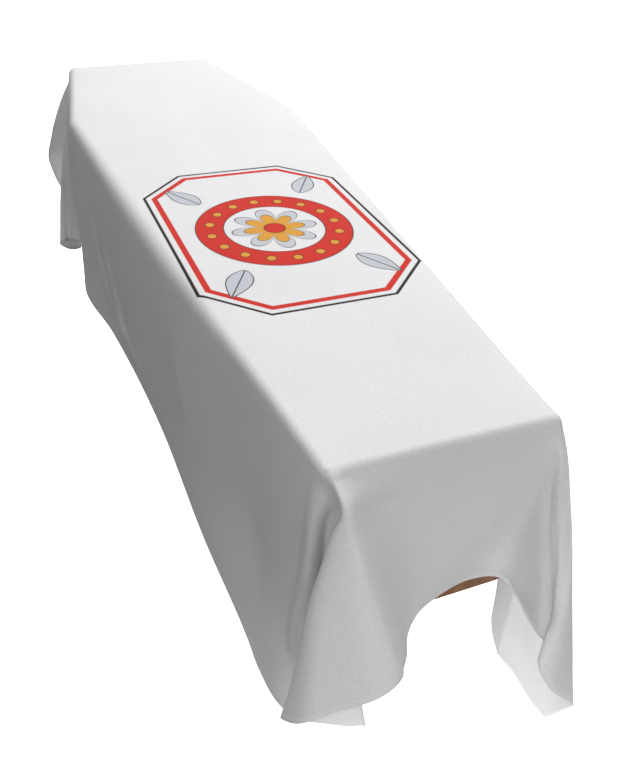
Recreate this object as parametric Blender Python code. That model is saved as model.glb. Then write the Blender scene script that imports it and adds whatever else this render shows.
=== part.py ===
# A coffin drape: one rectangular cloth with a plain hem, spread over a plain
# six-sided coffin. The cloth lies flat on the lid, turns over its edges and hangs
# as a loose skirt that is deepest at its four corners.
# Metres, +Z up. The origin is the middle of the coffin's flat underside, +Y runs
# towards the head end and +X is the left side of a body lying in the coffin.
import bpy
import bmesh
import math
import numpy as np
from mathutils import Vector
from mathutils.bvhtree import BVHTree

# ---------------------------------------------------------------- driving sizes
COFFIN_LENGTH = 1.920        # overall, foot face to head face
COFFIN_HEIGHT = 0.3615       # underside to the flat of the lid
FOOT_WIDTH = 0.346
SHOULDER_WIDTH = 0.581
HEAD_WIDTH = 0.406
SHOULDER_AT = 0.489          # where the coffin is widest, from the middle towards the head
END_CORNER_RADIUS = 0.015    # upright corners at the two ends
SHOULDER_RADIUS = 0.030      # upright corners at the shoulders
UNDERSIDE_CHAMFER = 0.0015

CLOTH_WIDTH = 1.490          # the cut size of the cloth
CLOTH_LENGTH = 2.550
CLOTH_THICKNESS = 0.0012
CLOTH_LIFT = 0.0010          # middle of the cloth above the lid: 0.4 mm of air below it

CLOTH_GAP = 0.0034           # least distance of the middle of the cloth from the coffin's walls
SOFTEN = 0.013               # how tightly the cloth folds
RINGS_ROUND = 3              # rows of faces over the rounded edge
RINGS_HANG = 8               # rows of faces down the skirt
RINGS_CROWD = 1.7            # how much closer together those rows are near the top
STATION_LONG = 0.075         # spacing of the skirt's lines along the plain stretches
STATION_CORNER = 0.028       # and near the corner folds

# The lid's rounded edge: depth below the lid, inset at the sides, inset at the ends
LID_EDGE = [
    # depth   side    end
    (0.000, 0.0200, 0.0090),
    (0.003, 0.0125, 0.0046),
    (0.008, 0.0060, 0.0016),
    (0.016, 0.0015, 0.0002),
    (0.026, 0.0000, 0.0000),
]

# Where the flat top ends and the cloth begins to turn down: the six corners,
# counter-clockwise from the foot's right corner
FOLD_CORNERS = [
    # x       y
    (0.173, -0.955),
    (0.298,  0.455),
    (0.203,  0.982),
    (-0.202,  0.966),
    (-0.2725, 0.489),
    (-0.175, -0.954),
]

# How the hem hangs. Each row is one point of the hem:
#   edge   F foot, L left in the view from the foot, H head, R right
#   along  its place along that edge of the flat cloth, from the cloth's middle
#   x, y   where it hangs, seen from above
#   bx, by how far the cloth bellies halfway up, beyond a straight line to the hem
HEM = [
    # edge along    x       y       bx      by
    # foot end, from the right corner of the cloth: a broad flare, then the arch
    ("F",  0.74,  0.236, -1.096,  0.010,  0.000),
    ("F",  0.65,  0.222, -1.130,  0.010,  0.000),
    ("F",  0.57,  0.198, -1.161,  0.008,  0.000),
    ("F",  0.50,  0.146, -1.173,  0.022, -0.002),
    ("F",  0.45,  0.103, -1.179,  0.034, -0.002),
    ("F",  0.415, 0.089, -1.166,  0.040,  0.000),
    ("F",  0.38,  0.097, -1.149,  0.032,  0.006),
    ("F",  0.34,  0.119, -1.138,  0.016,  0.006),
    ("F",  0.285, 0.117, -1.106,  0.008,  0.003),
    ("F",  0.23,  0.131, -1.055,  0.003,  0.000),
    ("F",  0.17,  0.142, -1.010,  0.000,  0.000),
    ("F",  0.14,  0.138, -0.990,  0.000,  0.000),
    ("F",  0.07,  0.079, -0.974,  0.000,  0.000),
    ("F",  0.00,  0.004, -0.992,  0.000,  0.000),
    ("F", -0.06, -0.036, -1.014,  0.000,  0.000),
    ("F", -0.12, -0.073, -1.055,  0.000,  0.000),
    ("F", -0.15, -0.090, -1.085,  0.000, -0.002),
    ("F", -0.18, -0.112, -1.112,  0.000, -0.005),
    ("F", -0.245, -0.160, -1.140,  0.000, -0.010),
    ("F", -0.30, -0.218, -1.124,  0.000, -0.010),
    # the flap that folds round over the left side, its ridge, and the layer under it
    ("F", -0.36, -0.261, -1.108, -0.003, -0.010),
    ("F", -0.42, -0.272, -1.066, -0.001, -0.012),
    ("F", -0.47, -0.260, -1.040,  0.008, -0.014),
    ("F", -0.52, -0.232, -1.030,  0.020, -0.010),
    ("F", -0.60, -0.172, -1.018,  0.015, -0.008),
    ("F", -0.68, -0.122, -1.002,  0.010, -0.006),
    ("F", -0.74, -0.078, -0.990,  0.005, -0.004),
    ("L", -1.22, -0.090, -0.984,  0.000, -0.002),
    ("L", -1.14, -0.110, -0.974,  0.000,  0.000),
    ("L", -1.07, -0.136, -0.980, -0.005,  0.000),
    ("L", -0.99, -0.198, -0.975, -0.006,  0.000),
    # left side
    ("L", -0.93, -0.226, -0.932, -0.006,  0.000),
    ("L", -0.87, -0.235, -0.866, -0.003,  0.000),
    ("L", -0.80, -0.235, -0.800,  0.000,  0.000),
    ("L", -0.55, -0.247, -0.555,  0.000,  0.000),
    ("L", -0.20, -0.252, -0.200,  0.000,  0.000),
    ("L",  0.20, -0.286,  0.200,  0.000,  0.000),
    ("L",  0.42, -0.318,  0.415,  0.000,  0.000),
    ("L",  0.47, -0.312,  0.455,  0.000,  0.000),
    ("L",  0.54, -0.302,  0.520,  0.000,  0.000),
    ("L",  0.64, -0.286,  0.620,  0.000,  0.000),
    ("L",  0.76, -0.268,  0.740,  0.000,  0.000),
    ("L",  0.87, -0.268,  0.820,  0.000,  0.000),
    ("L",  0.99, -0.288,  0.865, -0.004,  0.000),
    ("L",  1.08, -0.319,  0.875, -0.010,  0.000),
    ("L",  1.15, -0.335,  0.886, -0.010,  0.000),
    ("L",  1.215, -0.304, 0.910,  0.000,  0.000),
    # head end
    ("H", -0.735, -0.256, 0.990,  0.000,  0.000),
    ("H", -0.60, -0.262,  1.040,  0.000,  0.000),
    ("H", -0.48, -0.302,  1.066, -0.007,  0.005),
    ("H", -0.38, -0.311,  1.100, -0.008,  0.010),
    ("H", -0.30, -0.272,  1.115, -0.007,  0.010),
    ("H", -0.20, -0.195,  1.085,  0.000,  0.005),
    ("H", -0.10, -0.110,  1.030,  0.000,  0.000),
    ("H",  0.02,  0.010,  0.992,  0.000,  0.000),
    ("H",  0.12,  0.108,  0.990,  0.000,  0.000),
    ("H",  0.21,  0.170,  1.040,  0.000,  0.000),
    ("H",  0.31,  0.215,  1.110,  0.000,  0.010),
    ("H",  0.42,  0.250,  1.165,  0.000,  0.010),
    ("H",  0.54,  0.300,  1.150,  0.000,  0.005),
    ("H",  0.65,  0.330,  1.110,  0.000,  0.000),
    ("R",  1.26,  0.320,  1.065,  0.000,  0.000),
    # right side, from the head corner
    ("R",  1.18,  0.265,  1.030,  0.000,  0.000),
    ("R",  1.08,  0.238,  0.985,  0.000,  0.000),
    ("R",  0.98,  0.272,  0.930,  0.005,  0.000),
    ("R",  0.88,  0.315,  0.860,  0.010,  0.000),
    ("R",  0.78,  0.285,  0.770,  0.000,  0.000),
    ("R",  0.64,  0.290,  0.640,  0.000,  0.000),
    ("R",  0.50,  0.325,  0.500,  0.000,  0.000),
    ("R",  0.36,  0.322,  0.360,  0.000,  0.000),
    ("R",  0.12,  0.287,  0.120,  0.000,  0.000),
    ("R", -0.20,  0.270, -0.200,  0.000,  0.000),
    ("R", -0.52,  0.236, -0.520,  0.000,  0.000),
    ("R", -0.72,  0.250, -0.730,  0.000,  0.000),
    ("R", -0.84,  0.281, -0.855,  0.000,  0.000),
    ("R", -0.93,  0.224, -0.910,  0.000,  0.000),
    ("R", -1.02,  0.196, -0.976,  0.000,  0.000),
    ("R", -1.12,  0.210, -1.020,  0.000,  0.000),
    ("R", -1.20,  0.218, -1.064,  0.000,  0.000),
]

# How tightly the cloth turns over the lid's edge: where on the outline, and the radius
EDGE_ROUND = [
    # edge along   radius
    ("F",  0.00, 0.011),
    ("F",  0.10, 0.013),
    ("F",  0.17, 0.015),
    ("F",  0.32, 0.018),
    ("F",  0.55, 0.020),
    ("R", -1.15, 0.020),
    ("R", -0.92, 0.018),
    ("R", -0.60, 0.020),
    ("R",  0.10, 0.024),
    ("R",  0.85, 0.023),
    ("R",  1.15, 0.030),
    ("H",  0.50, 0.036),
    ("H",  0.12, 0.010),
    ("H", -0.14, 0.010),
    ("H", -0.45, 0.026),
    ("L",  1.15, 0.024),
    ("L",  0.85, 0.022),
    ("L",  0.45, 0.024),
    ("L",  0.05, 0.030),
    ("L", -0.35, 0.030),
    ("L", -0.85, 0.014),
    ("L", -1.18, 0.014),
    ("F", -0.62, 0.014),
    ("F", -0.38, 0.014),
    ("F", -0.15, 0.012),
]

HALF_W = CLOTH_WIDTH / 2
HALF_L = CLOTH_LENGTH / 2


# ---------------------------------------------------------------- outlines
def inset_outline(side, end):
    """The coffin's six corners, counter-clockwise from the foot's right, moved in."""
    half = COFFIN_LENGTH / 2
    pts = [(FOOT_WIDTH / 2, -half), (SHOULDER_WIDTH / 2, SHOULDER_AT), (HEAD_WIDTH / 2, half),
           (-HEAD_WIDTH / 2, half), (-SHOULDER_WIDTH / 2, SHOULDER_AT), (-FOOT_WIDTH / 2, -half)]
    pts = [np.array(p) for p in pts]
    lines = []
    for i in range(6):
        a, b = pts[i], pts[(i + 1) % 6]
        t = (b - a) / np.linalg.norm(b - a)
        n = np.array([t[1], -t[0]])
        d = end if i in (2, 5) else side
        lines.append((a - n * d, t))
    out = []
    for i in range(6):
        (a, t), (b, s) = lines[i - 1], lines[i]
        k = np.linalg.solve(np.array([t, -s]).T, b - a)[0]
        out.append(a + t * k)
    return out


def rounded(pts, radii, steps=4):
    """The polygon with each corner replaced by an arc."""
    out = []
    n = len(pts)
    for i in range(n):
        p, a, b = pts[i], pts[i - 1], pts[(i + 1) % n]
        u = (a - p) / np.linalg.norm(a - p)
        v = (b - p) / np.linalg.norm(b - p)
        half = math.acos(float(np.clip(u @ v, -1, 1))) / 2
        r = radii[i]
        c = p + (u + v) / np.linalg.norm(u + v) * (r / math.sin(half))
        s = p + u * (r / math.tan(half)) - c
        e = p + v * (r / math.tan(half)) - c
        a0 = math.atan2(s[1], s[0])
        turn = (math.atan2(e[1], e[0]) - a0 + math.pi) % (2 * math.pi) - math.pi
        for k in range(steps + 1):
            q = a0 + turn * k / steps
            out.append(c + r * np.array([math.cos(q), math.sin(q)]))
    return out


# ---------------------------------------------------------------- the cloth's shape
FOLD_LINE = [np.array(p) for p in FOLD_CORNERS]


def nearest(q):
    """The nearest point of the fold line to a point of the flat cloth outside it."""
    best, where = 1e9, None
    for i in range(6):
        a, b = FOLD_LINE[i], FOLD_LINE[(i + 1) % 6]
        t = b - a
        k = min(1.0, max(0.0, float((q - a) @ t / (t @ t))))
        p = a + t * k
        d = float(np.linalg.norm(q - p))
        if d < best - 1e-9:
            best, where = d, p
    return where, best


def flat_point(edge, along):
    return {"F": np.array([along, -HALF_L]), "H": np.array([along, HALF_L]),
            "L": np.array([-HALF_W, along]), "R": np.array([HALF_W, along])}[edge]


def hem_length(q):
    """Distance along the cloth's own edge, counter-clockwise from the foot's right corner."""
    w, l = CLOTH_WIDTH, CLOTH_LENGTH
    gaps = [abs(q[0] - HALF_W), abs(q[1] - HALF_L), abs(q[0] + HALF_W), abs(q[1] + HALF_L)]
    k = gaps.index(min(gaps))
    return [q[1] + HALF_L, l + HALF_W - q[0], l + w + HALF_L - q[1], 2 * l + w + q[0] + HALF_W][k]


def hem_point(s):
    """The flat point at a distance along the cloth's edge."""
    w, l = CLOTH_WIDTH, CLOTH_LENGTH
    s = s % (2 * (w + l))
    if s < l:
        return np.array([HALF_W, s - HALF_L])
    if s < l + w:
        return np.array([HALF_W - (s - l), HALF_L])
    if s < 2 * l + w:
        return np.array([-HALF_W, HALF_L - (s - l - w)])
    return np.array([-HALF_W + (s - 2 * l - w), -HALF_L])


def smooth_table(keys, values, period):
    """A smooth closed curve through the rows of a table."""
    order = np.argsort(keys)
    k = np.asarray(keys, float)[order]
    v = np.asarray(values, float)[order]
    k = np.concatenate([k[-2:] - period, k, k[:2] + period])
    v = np.concatenate([v[-2:], v, v[:2]])
    step = (k[1:] - k[:-1])[:, None]
    slope = (v[1:] - v[:-1]) / step
    m = np.zeros_like(v)
    m[1:-1] = (slope[:-1] * step[1:] + slope[1:] * step[:-1]) / (step[1:] + step[:-1])

    def at(s):
        s = s % period
        i = int(np.clip(np.searchsorted(k, s, side="right") - 1, 1, len(k) - 3))
        h = k[i + 1] - k[i]
        t = (s - k[i]) / h
        return ((2 * t**3 - 3 * t**2 + 1) * v[i] + (t**3 - 2 * t**2 + t) * h * m[i]
                + (-2 * t**3 + 3 * t**2) * v[i + 1] + (t**3 - t**2) * h * m[i + 1])
    return at


PERIOD = 2 * (CLOTH_WIDTH + CLOTH_LENGTH)
_keys, _vals = [], []
for edge, along, x, y, bx, by in HEM:
    q = flat_point(edge, along)
    o, _ = nearest(q)
    _keys.append(hem_length(q))
    _vals.append((x - o[0], y - o[1], bx, by))
HANG = smooth_table(_keys, _vals, PERIOD)
ROUND = smooth_table([hem_length(flat_point(e, a)) for e, a, r in EDGE_ROUND],
                     [(r,) for e, a, r in EDGE_ROUND], PERIOD)


# Places where the folds at the corners swing out or in between the lid and the hem.
# Each row is a soft bump on the flat cloth round a lid corner.
#   corner   fl or fr: the foot's left or right corner of the fold line
#   turn     the way out from that corner, in degrees from the foot towards the side
#   reach    how far out along it, in metres; then how wide the bump is in both
#   x, y, z  how far it moves the cloth
PUSHES = [
    # corner turn  reach  turn+-  reach+-  x       y       z
    ("fl",   48.0, 0.058,  40.0,  0.036,  0.017, -0.014,  0.000),
    ("fl",    0.0, 0.045,  35.0,  0.034,  0.000, -0.012,  0.000),
    ("fl",   28.0, 0.120,  24.0,  0.050,  0.011, -0.004,  0.000),
    ("fr",   85.0, 0.076,  45.0,  0.050,  0.016, -0.003,  0.000),
]


def pushed(places, flat):
    """The places moved by every bump of the table."""
    for corner, turn, reach, dt, dr, x, y, z in PUSHES:
        o = FOLD_LINE[5] if corner == "fl" else FOLD_LINE[0]
        sign = -1.0 if corner == "fl" else 1.0
        d = flat - o
        r = np.hypot(d[:, 0], d[:, 1])
        a = np.degrees(np.arctan2(sign * d[:, 0], -d[:, 1]))
        w = np.exp(-((a - turn) / dt) ** 2 - ((r - reach) / dr) ** 2) * np.clip(r / 0.02, 0, 1)
        places = places + w[:, None] * np.array([x, y, z])
    return places


def line_down(s, fractions):
    """One straight thread of the cloth from the fold line to the hem: places, and flat places."""
    e = hem_point(s)
    o, length = nearest(e)
    out = (e - o) / length
    rho = float(ROUND(s)[0])
    top = COFFIN_HEIGHT + CLOTH_LIFT
    a = np.linspace(0, math.pi / 2, RINGS_ROUND + 1)[:-1]
    turn = np.stack([o[0] + out[0] * rho * np.sin(a), o[1] + out[1] * rho * np.sin(a),
                     top - rho * (1 - np.cos(a))], 1)
    hang = length - rho * math.pi / 2
    dx, dy, bx, by = HANG(s)
    fine = 160
    t = np.linspace(0, 1, fine + 1)
    fx = o[0] + dx * t + 4 * bx * t * (1 - t) + out[0] * rho * (1 - t)
    fy = o[1] + dy * t + 4 * by * t * (1 - t) + out[1] * rho * (1 - t)
    run = np.diff(fx) ** 2 + np.diff(fy) ** 2
    drop = np.sqrt(np.maximum((hang / fine) ** 2 - run, (0.05 * hang / fine) ** 2))
    z = top - rho - np.concatenate([[0.0], np.cumsum(drop)])
    skirt = np.stack([np.interp(fractions, t, fx), np.interp(fractions, t, fy),
                      np.interp(fractions, t, z)], 1)
    r = np.concatenate([a * rho, rho * math.pi / 2 + np.asarray(fractions) * hang])
    flat = o[None, :] + out[None, :] * r[:, None]
    return np.concatenate([turn, skirt]), flat


def softened(columns, flats):
    """Round off the folds: each row of places is averaged along itself, as stiff as cloth."""
    columns, flats = np.array(columns), np.array(flats)
    n, rows = columns.shape[:2]
    out = columns.copy()
    for k in range(2, rows):
        step = np.linalg.norm(np.roll(flats[:, k], -1, 0) - flats[:, k], axis=1)
        u = np.concatenate([[0.0], np.cumsum(step)])
        total, u = u[-1], u[:-1]
        reach = np.linalg.norm(flats[:, k] - flats[:, 0], axis=1)
        left = np.linalg.norm(flats[:, -1] - flats[:, k], axis=1)
        wide = SOFTEN * np.clip(reach / 0.06, 0.05, 1) * np.clip(left / 0.05, 0.45, 1)
        gap = np.abs(u[:, None] - u[None, :])
        gap = np.minimum(gap, total - gap)
        weight = np.exp(-0.5 * (gap / wide[:, None]) ** 2)
        share = step + np.roll(step, 1) + 1e-6
        weight *= share[None, :]
        out[:, k] = weight @ columns[:, k] / weight.sum(1)[:, None]
    return out


def stations():
    """Distances along the hem: close together round the corners, wider between them."""
    out, s = [], 0.0
    while s < PERIOD - 0.012:
        out.append(s)
        q = hem_point(s)
        corner = abs(q[1]) > 0.80 and (abs(q[0]) > 0.10 or q[1] < 0)
        s += STATION_CORNER if corner else STATION_LONG
    return out


# ---------------------------------------------------------------- making objects
def clear_scene():
    for obj in list(bpy.data.objects):
        bpy.data.objects.remove(obj, do_unlink=True)


def material(name, colour, roughness, metallic=0.0):
    m = bpy.data.materials.new(name)
    m.use_nodes = True
    b = m.node_tree.nodes["Principled BSDF"]
    b.inputs["Base Color"].default_value = (*colour, 1)
    b.inputs["Roughness"].default_value = roughness
    b.inputs["Metallic"].default_value = metallic
    return m


def add_object(name, bm, mat, parent):
    mesh = bpy.data.meshes.new(name)
    bm.to_mesh(mesh)
    bm.free()
    obj = bpy.data.objects.new(name, mesh)
    bpy.context.scene.collection.objects.link(obj)
    obj.data.materials.append(mat)
    obj.parent = parent
    return obj


def make_coffin(mat, parent):
    """A closed six-sided box, widest at the shoulders, with a rounded lid edge."""
    radii = [END_CORNER_RADIUS, SHOULDER_RADIUS, END_CORNER_RADIUS] * 2
    rings = [(UNDERSIDE_CHAMFER, UNDERSIDE_CHAMFER, 0.0), (0.0, 0.0, UNDERSIDE_CHAMFER)]
    rings += [(side, end, COFFIN_HEIGHT - depth) for depth, side, end in reversed(LID_EDGE)]
    bm = bmesh.new()
    loops = []
    for side, end, z in rings:
        pts = rounded(inset_outline(side, end), radii)
        loops.append([bm.verts.new((p[0], p[1], z)) for p in pts])
    n = len(loops[0])
    for low, high in zip(loops[:-1], loops[1:]):
        for i in range(n):
            j = (i + 1) % n
            bm.faces.new((low[i], low[j], high[j], high[i]))
    bm.faces.new(list(reversed(loops[0])))
    bm.faces.new(loops[-1])
    bmesh.ops.recalc_face_normals(bm, faces=bm.faces)
    obj = add_object("coffin", bm, mat, parent)
    obj.data.shade_smooth()
    obj.data.set_sharp_from_angle(angle=math.radians(40))
    return obj


def clear_of_coffin(co, coffin):
    """Moves the places that come too near to the coffin's walls away from them."""
    tree = BVHTree.FromPolygons([v.co.copy() for v in coffin.data.vertices],
                                [tuple(p.vertices) for p in coffin.data.polygons])
    lid = COFFIN_HEIGHT + 0.5 * CLOTH_LIFT
    for i, p in enumerate(co):
        if p[2] > lid:
            continue
        spot, normal, _, far = tree.find_nearest(Vector(p), 0.06)
        if spot is None or normal.z > 0.9:
            continue
        if far < CLOTH_GAP or (Vector(p) - spot).dot(normal) < 0:
            co[i] = np.array(spot + normal * CLOTH_GAP)
    return co


def make_drape(mat, parent, coffin):
    """The cloth as one sheet: a flat top and a skirt of threads hung from the fold line."""
    fractions = [(k / RINGS_HANG) ** RINGS_CROWD for k in range(RINGS_HANG + 1)]
    threads = [line_down(s, fractions) for s in stations()]
    places = softened([pushed(p, flat) for p, flat in threads], [flat for _, flat in threads])
    n, rows = places.shape[:2]
    places = clear_of_coffin(places.reshape(-1, 3), coffin).reshape(n, rows, 3)
    bm = bmesh.new()
    columns = [[bm.verts.new(p) for p in col] for col in places]
    for i in range(n):
        a, b = columns[i], columns[(i + 1) % n]
        for k in range(len(a) - 1):
            bm.faces.new((a[k], a[k + 1], b[k + 1], b[k]))
    bmesh.ops.remove_doubles(bm, verts=bm.verts, dist=1e-5)
    bmesh.ops.dissolve_degenerate(bm, edges=bm.edges, dist=1e-6)
    rim = [e for e in bm.edges if e.is_boundary
           and all(v.co.z > COFFIN_HEIGHT for v in e.verts)]
    bmesh.ops.contextual_create(bm, geom=rim)
    bmesh.ops.recalc_face_normals(bm, faces=bm.faces)
    bmesh.ops.triangulate(bm, faces=bm.faces)
    obj = add_object("drape", bm, mat, parent)
    obj.data.shade_smooth()
    solid = obj.modifiers.new("Thickness", "SOLIDIFY")
    solid.thickness = CLOTH_THICKNESS
    solid.offset = 0.0
    solid.use_even_offset = False
    solid.use_rim = True
    return obj


def main():
    clear_scene()
    root = bpy.data.objects.new("coffin_drape_frame", None)
    bpy.context.scene.collection.objects.link(root)
    wood = material("coffin_wood", (0.16, 0.085, 0.045), 0.55)
    cloth = material("drape_cloth", (0.86, 0.86, 0.85), 0.85)
    coffin = make_coffin(wood, root)
    make_drape(cloth, root, coffin)


main()
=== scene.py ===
# Looks of the coffin drape: the cloth as a fine sheet on the folds that its solid
# has, the plain coffin under it, a pale floor, soft studio light and the camera.
# Metres, +Z up; the origin is the middle of the coffin's underside.
import math

import bpy
import bmesh
import numpy as np
from mathutils import Matrix, Vector
from mathutils.bvhtree import BVHTree
from mathutils.geometry import delaunay_2d_cdt


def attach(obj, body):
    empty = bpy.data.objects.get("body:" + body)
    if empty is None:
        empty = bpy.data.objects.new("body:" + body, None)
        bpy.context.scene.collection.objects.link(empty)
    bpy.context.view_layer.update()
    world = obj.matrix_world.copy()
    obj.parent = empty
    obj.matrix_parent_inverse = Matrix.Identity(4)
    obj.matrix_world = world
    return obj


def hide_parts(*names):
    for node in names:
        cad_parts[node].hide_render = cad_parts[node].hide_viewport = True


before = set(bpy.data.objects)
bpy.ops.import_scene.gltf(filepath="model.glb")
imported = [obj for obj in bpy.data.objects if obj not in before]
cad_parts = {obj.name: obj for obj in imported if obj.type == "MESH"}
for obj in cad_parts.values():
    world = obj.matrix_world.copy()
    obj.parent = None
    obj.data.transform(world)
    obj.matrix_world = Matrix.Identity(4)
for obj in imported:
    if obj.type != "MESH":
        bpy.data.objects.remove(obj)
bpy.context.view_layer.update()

# ---------------------------------------------------------------- sizes, as in the solids
COFFIN_LENGTH = 1.920
COFFIN_HEIGHT = 0.3615
FOOT_WIDTH = 0.346
SHOULDER_WIDTH = 0.581
HEAD_WIDTH = 0.406
SHOULDER_AT = 0.489

CLOTH_WIDTH = 1.490
CLOTH_LENGTH = 2.550
CLOTH_THICKNESS = 0.0012
CLOTH_LIFT = 0.0010
HEM_WIDTH = 0.014            # the turned hem along all four edges

RINGS_ROUND = 9              # rows over the rounded edge
RINGS_HANG = 34              # rows down the skirt
RINGS_CROWD = 1.25
STATION_LONG = 0.022
STATION_CORNER = 0.0105
SOFTEN = 0.013               # how tightly the cloth folds
TOP_GRID = 0.022             # spacing of the points of the flat top

# Where the flat top ends and the cloth begins to turn down: the six corners,
# counter-clockwise from the foot's right corner
FOLD_CORNERS = [
    # x       y
    (0.173, -0.955),
    (0.298,  0.455),
    (0.203,  0.982),
    (-0.202,  0.966),
    (-0.2725, 0.489),
    (-0.175, -0.954),
]

# How the hem hangs. Each row is one point of the hem:
#   edge   F foot, L left in the view from the foot, H head, R right
#   along  its place along that edge of the flat cloth, from the cloth's middle
#   x, y   where it hangs, seen from above
#   bx, by how far the cloth bellies halfway up, beyond a straight line to the hem
HEM = [
    # edge along    x       y       bx      by
    # foot end, from the right corner of the cloth: a broad flare, then the arch
    ("F",  0.74,  0.236, -1.096,  0.010,  0.000),
    ("F",  0.65,  0.222, -1.130,  0.010,  0.000),
    ("F",  0.57,  0.198, -1.161,  0.008,  0.000),
    ("F",  0.50,  0.146, -1.173,  0.022, -0.002),
    ("F",  0.45,  0.103, -1.179,  0.034, -0.002),
    ("F",  0.415, 0.089, -1.166,  0.040,  0.000),
    ("F",  0.38,  0.097, -1.149,  0.032,  0.006),
    ("F",  0.34,  0.119, -1.138,  0.016,  0.006),
    ("F",  0.285, 0.117, -1.106,  0.008,  0.003),
    ("F",  0.23,  0.131, -1.055,  0.003,  0.000),
    ("F",  0.17,  0.142, -1.010,  0.000,  0.000),
    ("F",  0.14,  0.138, -0.990,  0.000,  0.000),
    ("F",  0.07,  0.079, -0.974,  0.000,  0.000),
    ("F",  0.00,  0.004, -0.992,  0.000,  0.000),
    ("F", -0.06, -0.036, -1.014,  0.000,  0.000),
    ("F", -0.12, -0.073, -1.055,  0.000,  0.000),
    ("F", -0.15, -0.090, -1.085,  0.000, -0.002),
    ("F", -0.18, -0.112, -1.112,  0.000, -0.005),
    ("F", -0.245, -0.160, -1.140,  0.000, -0.010),
    ("F", -0.30, -0.218, -1.124,  0.000, -0.010),
    # the flap that folds round over the left side, its ridge, and the layer under it
    ("F", -0.36, -0.261, -1.108, -0.003, -0.010),
    ("F", -0.42, -0.272, -1.066, -0.001, -0.012),
    ("F", -0.47, -0.260, -1.040,  0.008, -0.014),
    ("F", -0.52, -0.232, -1.030,  0.020, -0.010),
    ("F", -0.60, -0.172, -1.018,  0.015, -0.008),
    ("F", -0.68, -0.122, -1.002,  0.010, -0.006),
    ("F", -0.74, -0.078, -0.990,  0.005, -0.004),
    ("L", -1.22, -0.090, -0.984,  0.000, -0.002),
    ("L", -1.14, -0.110, -0.974,  0.000,  0.000),
    ("L", -1.07, -0.136, -0.980, -0.005,  0.000),
    ("L", -0.99, -0.198, -0.975, -0.006,  0.000),
    # left side
    ("L", -0.93, -0.226, -0.932, -0.006,  0.000),
    ("L", -0.87, -0.235, -0.866, -0.003,  0.000),
    ("L", -0.80, -0.235, -0.800,  0.000,  0.000),
    ("L", -0.55, -0.247, -0.555,  0.000,  0.000),
    ("L", -0.20, -0.252, -0.200,  0.000,  0.000),
    ("L",  0.20, -0.286,  0.200,  0.000,  0.000),
    ("L",  0.42, -0.318,  0.415,  0.000,  0.000),
    ("L",  0.47, -0.312,  0.455,  0.000,  0.000),
    ("L",  0.54, -0.302,  0.520,  0.000,  0.000),
    ("L",  0.64, -0.286,  0.620,  0.000,  0.000),
    ("L",  0.76, -0.268,  0.740,  0.000,  0.000),
    ("L",  0.87, -0.268,  0.820,  0.000,  0.000),
    ("L",  0.99, -0.288,  0.865, -0.004,  0.000),
    ("L",  1.08, -0.319,  0.875, -0.010,  0.000),
    ("L",  1.15, -0.335,  0.886, -0.010,  0.000),
    ("L",  1.215, -0.304, 0.910,  0.000,  0.000),
    # head end
    ("H", -0.735, -0.256, 0.990,  0.000,  0.000),
    ("H", -0.60, -0.262,  1.040,  0.000,  0.000),
    ("H", -0.48, -0.302,  1.066, -0.007,  0.005),
    ("H", -0.38, -0.311,  1.100, -0.008,  0.010),
    ("H", -0.30, -0.272,  1.115, -0.007,  0.010),
    ("H", -0.20, -0.195,  1.085,  0.000,  0.005),
    ("H", -0.10, -0.110,  1.030,  0.000,  0.000),
    ("H",  0.02,  0.010,  0.992,  0.000,  0.000),
    ("H",  0.12,  0.108,  0.990,  0.000,  0.000),
    ("H",  0.21,  0.170,  1.040,  0.000,  0.000),
    ("H",  0.31,  0.215,  1.110,  0.000,  0.010),
    ("H",  0.42,  0.250,  1.165,  0.000,  0.010),
    ("H",  0.54,  0.300,  1.150,  0.000,  0.005),
    ("H",  0.65,  0.330,  1.110,  0.000,  0.000),
    ("R",  1.26,  0.320,  1.065,  0.000,  0.000),
    # right side, from the head corner
    ("R",  1.18,  0.265,  1.030,  0.000,  0.000),
    ("R",  1.08,  0.238,  0.985,  0.000,  0.000),
    ("R",  0.98,  0.272,  0.930,  0.005,  0.000),
    ("R",  0.88,  0.315,  0.860,  0.010,  0.000),
    ("R",  0.78,  0.285,  0.770,  0.000,  0.000),
    ("R",  0.64,  0.290,  0.640,  0.000,  0.000),
    ("R",  0.50,  0.325,  0.500,  0.000,  0.000),
    ("R",  0.36,  0.322,  0.360,  0.000,  0.000),
    ("R",  0.12,  0.287,  0.120,  0.000,  0.000),
    ("R", -0.20,  0.270, -0.200,  0.000,  0.000),
    ("R", -0.52,  0.236, -0.520,  0.000,  0.000),
    ("R", -0.72,  0.250, -0.730,  0.000,  0.000),
    ("R", -0.84,  0.281, -0.855,  0.000,  0.000),
    ("R", -0.93,  0.224, -0.910,  0.000,  0.000),
    ("R", -1.02,  0.196, -0.976,  0.000,  0.000),
    ("R", -1.12,  0.210, -1.020,  0.000,  0.000),
    ("R", -1.20,  0.218, -1.064,  0.000,  0.000),
]

# How tightly the cloth turns over the lid's edge: where on the outline, and the radius
EDGE_ROUND = [
    # edge along   radius
    ("F",  0.00, 0.011),
    ("F",  0.10, 0.013),
    ("F",  0.17, 0.015),
    ("F",  0.32, 0.018),
    ("F",  0.55, 0.020),
    ("R", -1.15, 0.020),
    ("R", -0.92, 0.018),
    ("R", -0.60, 0.020),
    ("R",  0.10, 0.024),
    ("R",  0.85, 0.023),
    ("R",  1.15, 0.030),
    ("H",  0.50, 0.036),
    ("H",  0.12, 0.010),
    ("H", -0.14, 0.010),
    ("H", -0.45, 0.026),
    ("L",  1.15, 0.024),
    ("L",  0.85, 0.022),
    ("L",  0.45, 0.024),
    ("L",  0.05, 0.030),
    ("L", -0.35, 0.030),
    ("L", -0.85, 0.014),
    ("L", -1.18, 0.014),
    ("F", -0.62, 0.014),
    ("F", -0.38, 0.014),
    ("F", -0.15, 0.012),
]

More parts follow.
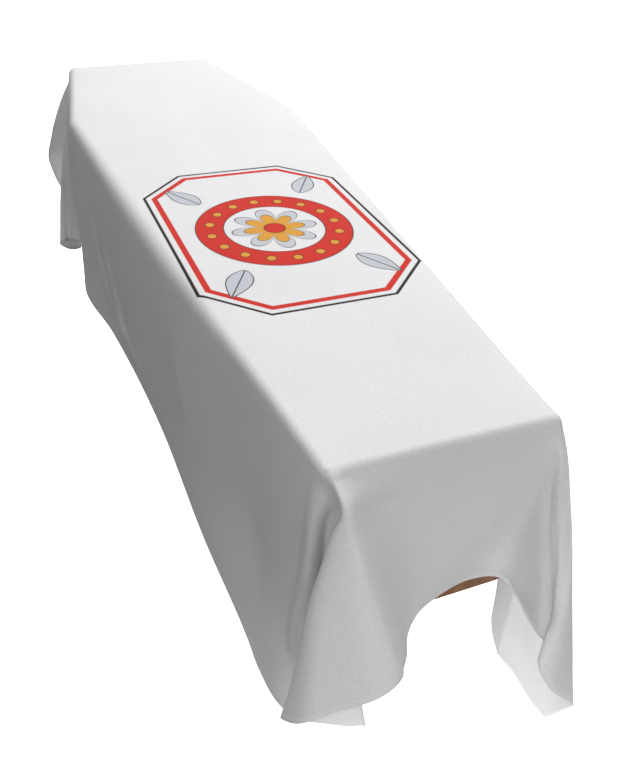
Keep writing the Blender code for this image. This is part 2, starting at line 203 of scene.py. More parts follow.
HALF_W = CLOTH_WIDTH / 2
HALF_L = CLOTH_LENGTH / 2


# ---------------------------------------------------------------- the cloth's shape
FOLD_LINE = [np.array(p) for p in FOLD_CORNERS]


def nearest(q):
    """The nearest point of the fold line to a point of the flat cloth outside it."""
    best, where = 1e9, None
    for i in range(6):
        a, b = FOLD_LINE[i], FOLD_LINE[(i + 1) % 6]
        t = b - a
        k = min(1.0, max(0.0, float((q - a) @ t / (t @ t))))
        p = a + t * k
        d = float(np.linalg.norm(q - p))
        if d < best - 1e-9:
            best, where = d, p
    return where, best


def flat_point(edge, along):
    return {"F": np.array([along, -HALF_L]), "H": np.array([along, HALF_L]),
            "L": np.array([-HALF_W, along]), "R": np.array([HALF_W, along])}[edge]


def hem_length(q):
    """Distance along the cloth's own edge, counter-clockwise from the foot's right corner."""
    w, l = CLOTH_WIDTH, CLOTH_LENGTH
    gaps = [abs(q[0] - HALF_W), abs(q[1] - HALF_L), abs(q[0] + HALF_W), abs(q[1] + HALF_L)]
    k = gaps.index(min(gaps))
    return [q[1] + HALF_L, l + HALF_W - q[0], l + w + HALF_L - q[1], 2 * l + w + q[0] + HALF_W][k]


def hem_point(s):
    """The flat point at a distance along the cloth's edge."""
    w, l = CLOTH_WIDTH, CLOTH_LENGTH
    s = s % (2 * (w + l))
    if s < l:
        return np.array([HALF_W, s - HALF_L])
    if s < l + w:
        return np.array([HALF_W - (s - l), HALF_L])
    if s < 2 * l + w:
        return np.array([-HALF_W, HALF_L - (s - l - w)])
    return np.array([-HALF_W + (s - 2 * l - w), -HALF_L])


def smooth_table(keys, values, period):
    """A smooth closed curve through the rows of a table."""
    order = np.argsort(keys)
    k = np.asarray(keys, float)[order]
    v = np.asarray(values, float)[order]
    k = np.concatenate([k[-2:] - period, k, k[:2] + period])
    v = np.concatenate([v[-2:], v, v[:2]])
    step = (k[1:] - k[:-1])[:, None]
    slope = (v[1:] - v[:-1]) / step
    m = np.zeros_like(v)
    m[1:-1] = (slope[:-1] * step[1:] + slope[1:] * step[:-1]) / (step[1:] + step[:-1])

    def at(s):
        s = s % period
        i = int(np.clip(np.searchsorted(k, s, side="right") - 1, 1, len(k) - 3))
        h = k[i + 1] - k[i]
        t = (s - k[i]) / h
        return ((2 * t**3 - 3 * t**2 + 1) * v[i] + (t**3 - 2 * t**2 + t) * h * m[i]
                + (-2 * t**3 + 3 * t**2) * v[i + 1] + (t**3 - t**2) * h * m[i + 1])
    return at


PERIOD = 2 * (CLOTH_WIDTH + CLOTH_LENGTH)
_keys, _vals = [], []
for edge, along, x, y, bx, by in HEM:
    q = flat_point(edge, along)
    o, _ = nearest(q)
    _keys.append(hem_length(q))
    _vals.append((x - o[0], y - o[1], bx, by))
HANG = smooth_table(_keys, _vals, PERIOD)
ROUND = smooth_table([hem_length(flat_point(e, a)) for e, a, r in EDGE_ROUND],
                     [(r,) for e, a, r in EDGE_ROUND], PERIOD)


# Places where the folds at the corners swing out or in between the lid and the hem.
# Each row is a soft bump on the flat cloth round a lid corner.
#   corner   fl or fr: the foot's left or right corner of the fold line
#   turn     the way out from that corner, in degrees from the foot towards the side
#   reach    how far out along it, in metres; then how wide the bump is in both
#   x, y, z  how far it moves the cloth
PUSHES = [
    # corner turn  reach  turn+-  reach+-  x       y       z
    ("fl",   48.0, 0.058,  40.0,  0.036,  0.017, -0.014,  0.000),
    ("fl",    0.0, 0.045,  35.0,  0.034,  0.000, -0.012,  0.000),
    ("fl",   28.0, 0.120,  24.0,  0.050,  0.011, -0.004,  0.000),
    ("fr",   85.0, 0.076,  45.0,  0.050,  0.016, -0.003,  0.000),
]


def pushed(places, flat):
    """The places moved by every bump of the table."""
    for corner, turn, reach, dt, dr, x, y, z in PUSHES:
        o = FOLD_LINE[5] if corner == "fl" else FOLD_LINE[0]
        sign = -1.0 if corner == "fl" else 1.0
        d = flat - o
        r = np.hypot(d[:, 0], d[:, 1])
        a = np.degrees(np.arctan2(sign * d[:, 0], -d[:, 1]))
        w = np.exp(-((a - turn) / dt) ** 2 - ((r - reach) / dr) ** 2) * np.clip(r / 0.02, 0, 1)
        places = places + w[:, None] * np.array([x, y, z])
    return places


def softened(columns, flats):
    """Round off the folds: each row of places is averaged along itself, as stiff as cloth."""
    columns, flats = np.array(columns), np.array(flats)
    n, rows = columns.shape[:2]
    out = columns.copy()
    for k in range(2, rows):
        step = np.linalg.norm(np.roll(flats[:, k], -1, 0) - flats[:, k], axis=1)
        u = np.concatenate([[0.0], np.cumsum(step)])
        total, u = u[-1], u[:-1]
        reach = np.linalg.norm(flats[:, k] - flats[:, 0], axis=1)
        left = np.linalg.norm(flats[:, -1] - flats[:, k], axis=1)
        wide = SOFTEN * np.clip(reach / 0.06, 0.05, 1) * np.clip(left / 0.05, 0.45, 1)
        gap = np.abs(u[:, None] - u[None, :])
        gap = np.minimum(gap, total - gap)
        weight = np.exp(-0.5 * (gap / wide[:, None]) ** 2)
        share = step + np.roll(step, 1) + 1e-6
        weight *= share[None, :]
        out[:, k] = weight @ columns[:, k] / weight.sum(1)[:, None]
    return out


# Soft creases and rolls of the sheet beyond the main folds. Each row has the height of
# the ridge (a groove where negative), how wide it is and how far it fades at its ends,
# then the points of its line on the flat cloth.
CREASES = [
    # height  width  fade   line
    # the pressed line along the middle of the cloth
    (0.0010, 0.007, 0.060, [(0.012, 0.960), (-0.024, 0.060)]),
    # the roll that ends the left side beside the foot's flap, and the groove behind it
    (0.0110, 0.014, 0.060, [(-0.205, -0.948), (-0.316, -0.964), (-0.400, -0.966), (-0.600, -0.950)]),
    (-0.0050, 0.011, 0.070, [(-0.215, -0.982), (-0.300, -0.994), (-0.480, -1.004)]),
    # the sharp ridge down the right flap, and the hollow beside it
    (0.0060, 0.008, 0.050, [(0.195, -0.997), (0.236, -1.078), (0.281, -1.142), (0.340, -1.194), (0.405, -1.232)]),
    (-0.0070, 0.016, 0.060, [(0.190, -1.030), (0.238, -1.140), (0.298, -1.212), (0.370, -1.246)]),
    # the crease under the foot's left corner, and the puff above it
    (-0.0040, 0.006, 0.030, [(-0.176, -1.010), (-0.124, -1.031), (-0.070, -1.035)]),
    (0.0040, 0.015, 0.040, [(-0.165, -0.990), (-0.110, -1.005), (-0.060, -1.010)]),
    # the little dent above the hem of the left flap
    (0.0026, 0.007, 0.022, [(-0.300, -1.236), (-0.276, -1.234), (-0.254, -1.244)]),
    (-0.0026, 0.007, 0.022, [(-0.294, -1.248), (-0.272, -1.247), (-0.252, -1.256)]),
    # faint pulls across the foot end
    (0.0012, 0.006, 0.030, [(0.000, -1.215), (0.050, -1.180), (0.085, -1.140)]),
    (0.0010, 0.006, 0.030, [(-0.020, -1.190), (0.020, -1.160), (0.045, -1.130)]),
    # the long folds down the left side, near the shoulder
    (-0.0120, 0.008, 0.050, [(-0.440, 0.272), (-0.525, 0.242), (-0.579, 0.210), (-0.645, 0.158)]),
    (0.0085, 0.011, 0.070, [(-0.470, 0.206), (-0.568, 0.142), (-0.662, 0.094), (-0.690, -0.085)]),
    (-0.0045, 0.010, 0.060, [(-0.560, 0.105), (-0.650, 0.060), (-0.690, -0.100), (-0.700, -0.240)]),
    (0.0040, 0.012, 0.080, [(-0.600, 0.010), (-0.690, -0.060), (-0.710, -0.300)]),
    # soft waves of the hanging sides
    (0.0030, 0.040, 0.200, [(-0.330, -0.350), (-0.640, -0.480)]),
    (-0.0025, 0.035, 0.200, [(-0.340, -0.200), (-0.660, -0.330)]),
    (0.0025, 0.030, 0.150, [(-0.420, -0.700), (-0.700, -0.760)]),
    (-0.0025, 0.030, 0.150, [(-0.400, -0.800), (-0.690, -0.850)]),
    (0.0035, 0.040, 0.200, [(0.340, -0.450), (0.680, -0.550)]),
    (-0.0035, 0.040, 0.200, [(0.350, -0.150), (0.690, -0.200)]),
    (0.0030, 0.040, 0.200, [(0.380, 0.200), (0.700, 0.260)]),
]


def line_down(s):
    """One straight thread from the fold line to the hem: places, and flat places."""
    e = hem_point(s)
    o, length = nearest(e)
    out = (e - o) / length
    rho = float(ROUND(s)[0])
    top = COFFIN_HEIGHT + CLOTH_LIFT
    a = np.linspace(0, math.pi / 2, RINGS_ROUND + 1)[:-1]
    turn = np.stack([o[0] + out[0] * rho * np.sin(a), o[1] + out[1] * rho * np.sin(a),
                     top - rho * (1 - np.cos(a))], 1)
    hang = length - rho * math.pi / 2
    dx, dy, bx, by = HANG(s)
    fine = 160
    t = np.linspace(0, 1, fine + 1)
    fx = o[0] + dx * t + 4 * bx * t * (1 - t) + out[0] * rho * (1 - t)
    fy = o[1] + dy * t + 4 * by * t * (1 - t) + out[1] * rho * (1 - t)
    run = np.diff(fx) ** 2 + np.diff(fy) ** 2
    drop = np.sqrt(np.maximum((hang / fine) ** 2 - run, (0.05 * hang / fine) ** 2))
    z = top - rho - np.concatenate([[0.0], np.cumsum(drop)])
    # rows down the skirt, the last three at the turned hem
    fr = (np.arange(RINGS_HANG + 1) / RINGS_HANG) ** RINGS_CROWD
    fr = np.concatenate([fr * (1 - (HEM_WIDTH + 0.003) / hang),
                         [1 - HEM_WIDTH / hang, 1 - 0.5 * HEM_WIDTH / hang, 1.0]])
    skirt = np.stack([np.interp(fr, t, fx), np.interp(fr, t, fy), np.interp(fr, t, z)], 1)
    r = np.concatenate([a * rho, rho * math.pi / 2 + fr * hang])
    flat = o[None, :] + out[None, :] * r[:, None]
    return np.concatenate([turn, skirt]), flat


def stations():
    out, s = [], 0.0
    while s < PERIOD - 0.4 * STATION_CORNER:
        out.append(s)
        q = hem_point(s)
        corner = abs(q[1]) > 0.78
        s += STATION_CORNER if corner else STATION_LONG
    return out


def crease_height(flat):
    """How far the creases lift the cloth at places of the flat cloth."""
    h = np.zeros(len(flat))
    for high, width, fade, line in CREASES:
        pts = np.array(line)
        steps = np.linalg.norm(np.diff(pts, axis=0), axis=1)
        start = np.concatenate([[0.0], np.cumsum(steps)])
        best = np.full(len(flat), 1e9)
        along = np.zeros(len(flat))
        for a, b, l, s0 in zip(pts[:-1], pts[1:], steps, start[:-1]):
            t = (b - a) / l
            k = np.clip((flat - a) @ t, 0, l)
            d = np.linalg.norm(flat - (a + k[:, None] * t), axis=1)
            near = d < best
            best[near] = d[near]
            along[near] = (s0 + k)[near]
        ends = np.clip(np.minimum(along, start[-1] - along) / fade, 0, 1)
        ends = ends * ends * (3 - 2 * ends)
        h += high * np.exp(-(best / width) ** 2) * ends
    return h


def clear_of_coffin(co, gap=0.0026):
    """Lifts places that come too near to the coffin off it."""
    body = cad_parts["coffin"]
    to_world = body.matrix_world
    tree = BVHTree.FromPolygons([to_world @ v.co for v in body.data.vertices],
                                [tuple(p.vertices) for p in body.data.polygons])
    lid = COFFIN_HEIGHT + 0.5 * CLOTH_LIFT
    for i, p in enumerate(co):
        if p[2] > lid:
            continue
        spot, normal, _, far = tree.find_nearest(Vector(p), 0.06)
        if spot is None or normal.z > 0.9:
            continue
        depth = (Vector(p) - spot).dot(normal)
        if far < gap or depth < 0:
            co[i] = np.array(spot + normal * gap)
    return co


def make_sheet():
    """The drape: threads hung from the fold line, and the flat top between them."""
    verts, flats, faces = [], [], []
    columns = []
    seen = {}
    threads = [line_down(s) for s in stations()]
    smooth = softened([pushed(places, flat) for places, flat in threads], [t[1] for t in threads])
    for places, (_, flat) in zip(smooth, threads):
        key = (round(float(flat[0, 0]), 5), round(float(flat[0, 1]), 5))
        if key not in seen:              # threads that start at the same corner share it
            seen[key] = len(verts)
            verts.append(places[0])
            flats.append(flat[0])
        col = [seen[key]]
        for p, f in zip(places[1:], flat[1:]):
            col.append(len(verts))
            verts.append(p)
            flats.append(f)
        columns.append(col)
    n = len(columns)
    for i in range(n):
        a, b = columns[i], columns[(i + 1) % n]
        for k in range(len(a) - 1):
            if k == 0 and a[0] == b[0]:
                faces.append((a[0], a[1], b[1]))
            else:
                faces.append((a[k], a[k + 1], b[k + 1], b[k]))
    # the top: its outline is the fold line's points in order, filled with a fine grid
    rim = []
    for col in columns:
        if not rim or rim[-1] != col[0]:
            rim.append(col[0])
    if rim[0] == rim[-1]:
        rim.pop()
    outline = [Vector((flats[i][0], flats[i][1])) for i in rim]
    inner = []

    def inside(p):
        for i in range(6):
            t = FOLD_LINE[(i + 1) % 6] - FOLD_LINE[i]
            away = (t[0] * (p[1] - FOLD_LINE[i][1]) - t[1] * (p[0] - FOLD_LINE[i][0])) / np.hypot(*t)
            if away < 0.6 * TOP_GRID:
                return False
        return True

    xs = list(np.arange(-14, 15) * TOP_GRID)
    rows = int(COFFIN_LENGTH / 2 / TOP_GRID) + 1
    for j in range(-rows, rows + 1):
        y = j * TOP_GRID
        mid = -0.006 + 0.018 * y / 0.45 * 0.5     # finer across the pressed line
        line = [mid + d for d in (-0.012, -0.006, 0.0, 0.006, 0.012)]
        for x in [x for x in xs if min(abs(x - q) for q in line) > 0.010] + line:
            if inside((x, y)):
                inner.append(Vector((x, y)))
    points = outline + inner
    edges = [(i, (i + 1) % len(outline)) for i in range(len(outline))]
    got, _, tris, origin, _, _ = delaunay_2d_cdt(points, edges, [], 1, 1e-7)
    index = {}
    for i, p in enumerate(got):
        src = [k for k in origin[i] if k < len(outline)]
        if src:
            index[i] = rim[src[0]]
        else:
            index[i] = len(verts)
            verts.append(np.array([p[0], p[1], COFFIN_HEIGHT + CLOTH_LIFT]))
            flats.append(np.array([p[0], p[1]]))
    for tri in tris:
        faces.append(tuple(index[i] for i in tri))
    mesh = bpy.data.meshes.new("drape_sheet")
    mesh.from_pydata([tuple(v) for v in verts], [], faces)
    bm = bmesh.new()
    bm.from_mesh(mesh)
    bmesh.ops.recalc_face_normals(bm, faces=bm.faces)
    up = max(bm.faces, key=lambda f: f.calc_center_median().z)
    if up.normal.z < 0:
        bmesh.ops.reverse_faces(bm, faces=bm.faces)
    bm.to_mesh(mesh)
    bm.free()
    flats = np.array(flats)
    # creases lift the sheet along its own normal
    lift = crease_height(flats)
    normals = np.array([v.normal for v in mesh.vertices])
    co = np.array([v.co for v in mesh.vertices]) + normals * lift[:, None]
    co = clear_of_coffin(co)
    mesh.vertices.foreach_set("co", co.ravel())
    attr = mesh.attributes.new("flat", "FLOAT_VECTOR", "POINT")
    attr.data.foreach_set("vector", np.column_stack([flats, np.zeros(len(flats))]).ravel())
    obj = bpy.data.objects.new("drape_sheet", mesh)
    bpy.context.scene.collection.objects.link(obj)
    # the hem is two layers thicker
    edge = np.minimum(CLOTH_WIDTH / 2 - np.abs(flats[:, 0]), CLOTH_LENGTH / 2 - np.abs(flats[:, 1]))
    weight = np.where(edge < HEM_WIDTH + 0.001, 1.0, 0.45)
    group = obj.vertex_groups.new(name="thick")
    for w in (1.0, 0.45):
        group.add([int(i) for i in np.nonzero(weight == w)[0]], w, "REPLACE")
    mesh.shade_smooth()
    mesh.update()
    return obj


# ---------------------------------------------------------------- materials
class Nodes:
    """Short calls for building a node tree from sums."""

    def __init__(self, mat):
        mat.use_nodes = True
        self.tree = mat.node_tree
        self.tree.nodes.clear()
        self.out = self.add("ShaderNodeOutputMaterial")

    def add(self, kind, **values):
        n = self.tree.nodes.new(kind)
        for k, v in values.items():
            setattr(n, k, v)
        return n

    def link(self, a, b):
        self.tree.links.new(a, b)

    def put(self, socket, value):
        if hasattr(value, "is_linked") or hasattr(value, "links"):
            self.link(value, socket)
        else:
            socket.default_value = value

    def math(self, op, a, b=None, c=None, clamp=False):
        n = self.add("ShaderNodeMath", operation=op, use_clamp=clamp)
        for i, v in enumerate((a, b, c)):
            if v is not None:
                self.put(n.inputs[i], v)
        return n.outputs[0]

    def plus(self, a, b):
        return self.math("ADD", a, b)

    def minus(self, a, b):
        return self.math("SUBTRACT", a, b)

    def times(self, a, b):
        return self.math("MULTIPLY", a, b)

    def over(self, a, b):
        return self.math("DIVIDE", a, b)

    def least(self, a, b):
        return self.math("MINIMUM", a, b)

    def most(self, a, b):
        return self.math("MAXIMUM", a, b)

    def size(self, a):
        return self.math("ABSOLUTE", a)

    def step(self, d, soft):
        """1 where the distance d is below zero, 0 above, with a soft edge."""
        return self.math("SUBTRACT", 0.5, self.over(d, soft), clamp=True)

    def mix(self, fac, a, b):
        n = self.add("ShaderNodeMix", data_type="RGBA")
        self.put(n.inputs[0], fac)
        for i, v in ((6, a), (7, b)):
            if isinstance(v, tuple):
                n.inputs[i].default_value = (*v, 1.0) if len(v) == 3 else v
            else:
                self.link(v, n.inputs[i])
        return n.outputs[2]


def rgb(r, g, b):
    """An sRGB colour of 0 to 255 as Blender's linear one."""
    def lin(c):
        c = c / 255
        return c / 12.92 if c <= 0.04045 else ((c + 0.055) / 1.055) ** 2.4
    return (lin(r), lin(g), lin(b))


# The printed design on the lid: a plain ornamental panel, its middle and half sizes
PANEL_Y = -0.266
PANEL_HALF_X = 0.218
PANEL_HALF_Y = 0.312
PANEL_CUT = 0.430            # how far out the cut corners lie along a diagonal
RING_OUT = 0.158
RING_IN = 0.104
INK = rgb(52, 38, 36)
RED = rgb(214, 52, 40)
GOLD = rgb(226, 168, 66)
PALE = rgb(205, 208, 214)
WHITE = rgb(243, 244, 247)


def printed(n, x, y, base):
    """The panel: a dark outline with cut corners, a red ring, a gold rosette, and leaves."""
    ax, ay = n.size(x), n.size(n.minus(y, PANEL_Y))
    yy = n.minus(y, PANEL_Y)
    soft = 0.0016
    # outline
    d = n.most(n.minus(ax, PANEL_HALF_X), n.minus(ay, PANEL_HALF_Y))
    d = n.most(d, n.times(n.minus(n.plus(ax, ay), PANEL_CUT), 0.7071))
    colour = base
    outline = n.step(n.minus(n.size(d), 0.0030), soft)
    colour = n.mix(outline, colour, INK)
    inner = n.step(n.minus(n.size(n.plus(d, 0.020)), 0.0060), soft)
    colour = n.mix(inner, colour, RED)
    # four leaves, one to each corner
    lx, ly = 0.112, 0.150
    ux, uy = 0.52, 0.854
    px, py = n.minus(ax, lx), n.minus(ay, ly)
    along = n.plus(n.times(px, ux), n.times(py, uy))
    across = n.size(n.minus(n.times(px, uy), n.times(py, ux)))
    run = n.math("DIVIDE", along, 0.104, clamp=True)
    half = n.times(n.math("SINE", n.times(n.math("POWER", run, 0.8), math.pi)), 0.023)
    leaf = n.most(n.minus(across, half), n.most(n.minus(0.004, along), n.minus(along, 0.100)))
    colour = n.mix(n.step(n.minus(leaf, 0.0022), soft), colour, INK)
    colour = n.mix(n.step(leaf, soft), colour, PALE)
    vein = n.most(n.minus(across, 0.0012), leaf)
    colour = n.mix(n.step(vein, soft), colour, INK)
    # the red ring, edged in ink
    r = n.math("SQRT", n.plus(n.times(ax, ax), n.times(ay, ay)))
    ring = n.minus(n.size(n.minus(r, (RING_OUT + RING_IN) / 2)), (RING_OUT - RING_IN) / 2)
    colour = n.mix(n.step(n.minus(ring, 0.0020), soft), colour, INK)
    colour = n.mix(n.step(ring, soft), colour, RED)
    # pale beads on the ring
    angle = n.math("ARCTAN2", yy, x)
    turn = n.math("FRACT", n.plus(n.times(angle, 16 / (2 * math.pi)), 0.5))
    side = n.times(n.minus(turn, 0.5), 2 * math.pi / 16)
    off = n.math("SQRT", n.plus(n.math("POWER", n.times(side, r), 2.0),
                                n.math("POWER", n.minus(r, (RING_OUT + RING_IN) / 2), 2.0)))
    colour = n.mix(n.step(n.minus(off, 0.0105), soft), colour, INK)
    colour = n.mix(n.step(n.minus(off, 0.0088), soft), colour, GOLD)
    # the rosette
    lobe = n.math("POWER", n.size(n.math("COSINE", n.times(angle, 4.0))), 0.7)
    edge = n.plus(0.038, n.times(lobe, 0.050))
    petal = n.minus(r, edge)
    colour = n.mix(n.step(n.minus(petal, 0.0024), soft), colour, INK)
    colour = n.mix(n.step(petal, soft), colour, PALE)
    petal = n.minus(r, n.times(edge, 0.72))
    colour = n.mix(n.step(n.minus(petal, 0.0018), soft), colour, INK)
    colour = n.mix(n.step(petal, soft), colour, GOLD)
    colour = n.mix(n.step(n.minus(r, 0.0225), soft), colour, INK)
    colour = n.mix(n.step(n.minus(r, 0.0205), soft), colour, RED)
    return colour


def weave(n, x, y):
    """Height of a plain weave, one thread every WEAVE metres each way, slightly uneven."""
    pitch = 0.00125
    noise = n.add("ShaderNodeTexNoise", noise_dimensions="2D")
    noise.inputs["Scale"].default_value = 90.0
    noise.inputs["Detail"].default_value = 2.0
    at = n.add("ShaderNodeCombineXYZ")
    n.link(x, at.inputs[0])
    n.link(y, at.inputs[1])
    n.link(at.outputs[0], noise.inputs["Vector"])
    wob = n.times(n.minus(noise.outputs[0], 0.5), 2.2)
    a = n.math("SINE", n.plus(n.times(x, 2 * math.pi / pitch), wob))
    b = n.math("SINE", n.plus(n.times(y, 2 * math.pi / pitch), wob))
    return n.plus(n.times(a, 0.5), n.times(b, 0.5)), noise.outputs[0], at.outputs[0]


def cloth_material(name, reverse):
    mat = bpy.data.materials.new(name)
    n = Nodes(mat)
    at = n.add("ShaderNodeAttribute", attribute_type="GEOMETRY", attribute_name="flat")
    sep = n.add("ShaderNodeSeparateXYZ")
    n.link(at.outputs["Vector"], sep.inputs[0])
    x, y = sep.outputs[0], sep.outputs[1]
    height, slub, vec = weave(n, x, y)
    # cloudy unevenness of the cloth's white
    cloud = n.add("ShaderNodeTexNoise", noise_dimensions="2D")
    cloud.inputs["Scale"].default_value = 5.0
    cloud.inputs["Detail"].default_value = 4.0
    n.link(vec, cloud.inputs["Vector"])
    grain = n.add("ShaderNodeTexNoise", noise_dimensions="2D")
    grain.inputs["Scale"].default_value = 210.0
    grain.inputs["Detail"].default_value = 3.0
    grain.inputs["Roughness"].default_value = 0.65
    n.link(vec, grain.inputs["Vector"])
    # The reverse side has no print and a paler white than the face. The paler white is painted light: it stands in
    # for lamp light shining through the cloth onto its inner side.
    white = rgb(247, 247, 248) if reverse else rgb(241, 241, 242)
    dim = rgb(239, 239, 240) if reverse else rgb(227, 227, 228)
    tone = n.math("ADD", n.times(n.minus(grain.outputs[0], 0.5), 1.5),
                  n.plus(n.times(n.minus(cloud.outputs[0], 0.5), 0.5), 0.5), clamp=True)
    base = n.mix(tone, dim, white)
    if reverse:
        colour = base
    else:
        colour = printed(n, x, y, base)
    # the turned hem: a stitched line along its inner edge
    edge = n.least(n.minus(CLOTH_WIDTH / 2, n.size(x)), n.minus(CLOTH_LENGTH / 2, n.size(y)))
    stitch = n.step(n.minus(n.size(n.minus(edge, HEM_WIDTH - 0.002)), 0.0007), 0.0006)
    run = n.plus(x, y)
    dash = n.step(n.minus(n.math("FRACT", n.over(run, 0.0034)), 0.72), 0.1)
    seam = n.times(stitch, dash)
    colour = n.mix(n.times(seam, 0.15), colour, rgb(170, 171, 176))
    bump = n.add("ShaderNodeBump")
    bump.inputs["Strength"].default_value = 0.35
    bump.inputs["Distance"].default_value = 0.00035
    total = n.plus(n.times(height, 0.45), n.times(grain.outputs[0], 1.6))
    total = n.minus(total, n.times(seam, 0.6))
    n.link(total, bump.inputs["Height"])
    skin = n.add("ShaderNodeBsdfPrincipled")
    n.link(colour, skin.inputs["Base Color"])
    skin.inputs["Roughness"].default_value = 0.88
    skin.inputs["Specular IOR Level"].default_value = 0.25
    skin.inputs["Sheen Weight"].default_value = 0.12
    skin.inputs["Sheen Roughness"].default_value = 0.5
    n.link(bump.outputs[0], skin.inputs["Normal"])
    through = n.add("ShaderNodeBsdfTranslucent")
    n.link(colour, through.inputs["Color"])
    both = n.add("ShaderNodeMixShader")
    both.inputs[0].default_value = TRANSLUCENCY
    n.link(skin.outputs[0], both.inputs[1])
    n.link(through.outputs[0], both.inputs[2])
    n.link(both.outputs[0], n.out.inputs[0])
    return mat


def wood_material():
    """Plain brown coffin veneer, its grain along the coffin."""
    mat = bpy.data.materials.new("coffin_veneer")
    n = Nodes(mat)
    coord = n.add("ShaderNodeTexCoord")
    sep = n.add("ShaderNodeSeparateXYZ")
    n.link(coord.outputs["Object"], sep.inputs[0])
    stretch = n.add("ShaderNodeCombineXYZ")
    n.link(n.times(sep.outputs[0], 22.0), stretch.inputs[0])
    n.link(n.times(sep.outputs[1], 1.1), stretch.inputs[1])
    n.link(n.times(sep.outputs[2], 22.0), stretch.inputs[2])
    bands = n.add("ShaderNodeTexNoise")
    bands.inputs["Scale"].default_value = 1.6
    bands.inputs["Detail"].default_value = 5.0
    bands.inputs["Distortion"].default_value = 0.8
    n.link(stretch.outputs[0], bands.inputs["Vector"])
    pores = n.add("ShaderNodeTexNoise")
    pores.inputs["Scale"].default_value = 11.0
    pores.inputs["Detail"].default_value = 3.0
    n.link(stretch.outputs[0], pores.inputs["Vector"])
    tone = n.math("MULTIPLY_ADD", n.minus(bands.outputs[0], 0.5), 2.4, 0.5, clamp=True)
    colour = n.mix(tone, rgb(92, 60, 34), rgb(140, 98, 62))
    dark = n.math("MULTIPLY_ADD", n.minus(pores.outputs[0], 0.60), 6.0, 0.0, clamp=True)
    colour = n.mix(n.times(dark, 0.45), colour, rgb(64, 40, 22))
    speck = n.add("ShaderNodeTexVoronoi", feature="F1")
    speck.inputs["Scale"].default_value = 75.0
    n.link(coord.outputs["Object"], speck.inputs["Vector"])
    spot = n.step(n.minus(speck.outputs["Distance"], 0.10), 0.05)
    colour = n.mix(n.times(spot, 0.5), colour, rgb(196, 164, 120))
    bump = n.add("ShaderNodeBump")
    bump.inputs["Strength"].default_value = 0.25
    bump.inputs["Distance"].default_value = 0.0006
    n.link(n.minus(bands.outputs[0], n.times(dark, 0.5)), bump.inputs["Height"])
    skin = n.add("ShaderNodeBsdfPrincipled")
    n.link(colour, skin.inputs["Base Color"])
    skin.inputs["Roughness"].default_value = 0.45
    skin.inputs["Specular IOR Level"].default_value = 0.4
    n.link(bump.outputs[0], skin.inputs["Normal"])
    n.link(skin.outputs[0], n.out.inputs[0])
    return mat


TRANSLUCENCY = 0.42

# ---------------------------------------------------------------- the drape and the coffin
sheet = make_sheet()
sheet.data.materials.append(cloth_material("drape_face", False))
# The reverse-side material, also built for the edge, carries the paler white that is painted light from lamps
# shining through the cloth.
sheet.data.materials.append(cloth_material("drape_reverse_painted_light", True))
sheet.data.materials.append(cloth_material("drape_edge", True))
solid = sheet.modifiers.new("Thickness", "SOLIDIFY")
solid.thickness = 2 * CLOTH_THICKNESS
solid.offset = 0.0
solid.use_even_offset = False
solid.use_rim = True
solid.vertex_group = "thick"
solid.material_offset = 1
solid.material_offset_rim = 1
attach(sheet, "root")
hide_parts("drape")

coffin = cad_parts["coffin"]
coffin.data.materials.clear()
coffin.data.materials.append(wood_material())

# ---------------------------------------------------------------- floor, light, camera
FLOOR_Z = -0.62

mesh = bpy.data.meshes.new("floor")
# a wide floor and the pale walls and ceiling of the studio round it
mesh.from_pydata([(x, y, z) for z in (FLOOR_Z, 29.0) for x, y in ((-30, -30), (30, -30), (30, 30), (-30, 30))], [],
                 [(0, 1, 2, 3), (0, 4, 5, 1), (1, 5, 6, 2), (2, 6, 7, 3), (3, 7, 4, 0), (7, 6, 5, 4)])
floor = bpy.data.objects.new("floor", mesh)
bpy.context.scene.collection.objects.link(floor)
pale = bpy.data.materials.new("pale_floor")
n = Nodes(pale)
skin = n.add("ShaderNodeBsdfPrincipled")
skin.inputs["Base Color"].default_value = (*rgb(246, 246, 247), 1)
skin.inputs["Roughness"].default_value = 1.0
skin.inputs["Specular IOR Level"].default_value = 0.0
skin.inputs["Emission Color"].default_value = (1, 1, 1, 1)
skin.inputs["Emission Strength"].default_value = 1.0
n.link(skin.outputs[0], n.out.inputs[0])
floor.data.materials.append(pale)
floor.visible_diffuse = False
floor.visible_glossy = False
floor.visible_transmission = False
floor.visible_shadow = False

world = bpy.data.worlds.new("studio")
bpy.context.scene.world = world
world.use_nodes = True
background = world.node_tree.nodes["Background"]
background.inputs["Color"].default_value = (1.0, 1.0, 1.0, 1)
background.inputs["Strength"].default_value = 0.05


def lamp(name, place, aim, size, watts, colour=(1, 1, 1), size_y=None):
    light = bpy.data.lights.new(name, "AREA")
    light.energy = watts
    light.size = size
    light.color = colour
    if size_y:
        light.shape = "RECTANGLE"
        light.size_y = size_y
    obj = bpy.data.objects.new(name, light)
    bpy.context.scene.collection.objects.link(obj)
    obj.location = place
    obj.visible_camera = False
    obj.rotation_euler = (Vector(aim) - Vector(place)).to_track_quat("-Z", "Y").to_euler()
    return obj


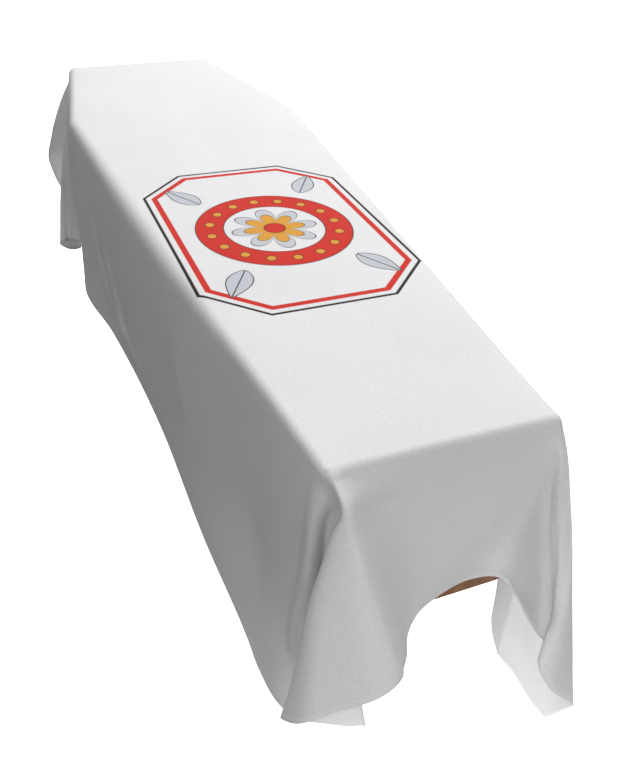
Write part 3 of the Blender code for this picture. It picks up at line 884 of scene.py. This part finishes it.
# softboxes all round: the way each one lies from the coffin, and its power in watts
STUDIO = [
    # name         turn  height  watts     turn: degrees from the foot towards the right
    ("foot",          0,     50,   53),
    ("foot_right",   45,     25,   46),
    ("head_right",  135,     55,  245),
    ("head_low",    150,     30,   30),
    ("foot_left",   -45,     25,   64),
    ("head_left",  -120,     25,   24),
]
for name, turn, height, watts in STUDIO:
    a, e = math.radians(turn), math.radians(height)
    way = Vector((math.sin(a) * math.cos(e), -math.cos(a) * math.cos(e), math.sin(e)))
    lamp(name, way * 4.5 + Vector((0, -0.1, 0.2)), (0, -0.1, 0.2), 2.2, watts, (0.99, 0.993, 1.0))
# small ones low down, for the reverse side of the cloth at the foot
lamp("inside", (-0.02, -0.78, -0.50), (0.24, -1.05, -0.15), 0.30, 1.35)
lamp("low_foot", (-0.15, -1.75, -0.52), (0.0, -1.0, -0.1), 0.50, 4.2)
lamp("head_behind", (-0.38, 1.55, 0.05), (-0.30, 1.05, 0.08), 0.30, 2.8)
lamp("low_right", (0.0, -1.10, -0.56), (0.22, -1.08, -0.15), 0.20, 1.1)

camera_data = bpy.data.cameras.new("camera")
camera_data.sensor_fit = "AUTO"
camera_data.sensor_width = 36.0
camera_data.lens = 36.485
camera_data.clip_start = 0.01
camera_data.clip_end = 200.0
camera = bpy.data.objects.new("camera", camera_data)
bpy.context.scene.collection.objects.link(camera)
azimuth, elevation, roll = (math.radians(v) for v in (-24.1565, 36.84, 3.365))
back = Vector((math.sin(azimuth) * math.cos(elevation), -math.cos(azimuth) * math.cos(elevation),
               math.sin(elevation)))
side = (-back).cross(Vector((0, 0, 1))).normalized()
up = side.cross(-back)
right = math.cos(roll) * side + math.sin(roll) * up
high = -math.sin(roll) * side + math.cos(roll) * up
camera.matrix_world = Matrix(((right.x, high.x, back.x, -0.516), (right.y, high.y, back.y, -1.647),
                              (right.z, high.z, back.z, 1.0625), (0, 0, 0, 1)))
bpy.context.scene.camera = camera

bpy.context.scene.view_settings.view_transform = "Standard"
bpy.context.scene.view_settings.look = "None"
